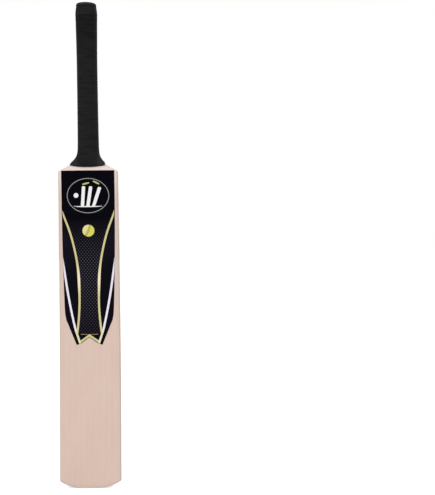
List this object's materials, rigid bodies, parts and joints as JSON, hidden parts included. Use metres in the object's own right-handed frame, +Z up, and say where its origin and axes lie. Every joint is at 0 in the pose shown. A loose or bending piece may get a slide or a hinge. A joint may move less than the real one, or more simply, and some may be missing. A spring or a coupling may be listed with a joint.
{
  "type": "cricket bat",
  "caption": "Junior cricket bat: pale timber blade with a V-spliced laminated cane handle, rubber grip sleeve and a plain black face label.",
  "frame": {"origin": "the middle of the small flat at the bottom of the toe, on which the bat stands upright", "axes": "+Z up the bat from the toe towards the handle's end, -Y out of the striking face, +X to the right of someone who looks at the striking face"},
  "size_m": [0.0924, 0.0588, 0.7301],
  "materials": {
    "pale_willow": "lightly sanded and sealed, satin",
    "rattan_cane": "sawn and planed, satin",
    "spring_rubber": "matt",
    "waxed_twine": "waxed, matt",
    "black_rubber": "matt, finely ribbed",
    "black_vinyl": "semi-gloss film"
  },
  "bodies": {
    "root": {"blade": "pale_willow", "cane_front_1": "rattan_cane", "cane_front_2": "rattan_cane", "cane_front_3": "rattan_cane", "cane_front_4": "rattan_cane", "cane_middle_1": "rattan_cane", "cane_middle_2": "rattan_cane", "cane_middle_3": "rattan_cane", "cane_middle_4": "rattan_cane", "cane_rear_1": "rattan_cane", "cane_rear_2": "rattan_cane", "cane_rear_3": "rattan_cane", "cane_rear_4": "rattan_cane", "rubber_spring_front": "spring_rubber", "rubber_spring_rear": "spring_rubber", "twine_binding": "waxed_twine", "grip": "black_rubber", "face_label": "black_vinyl"}
  },
  "joints": []
}
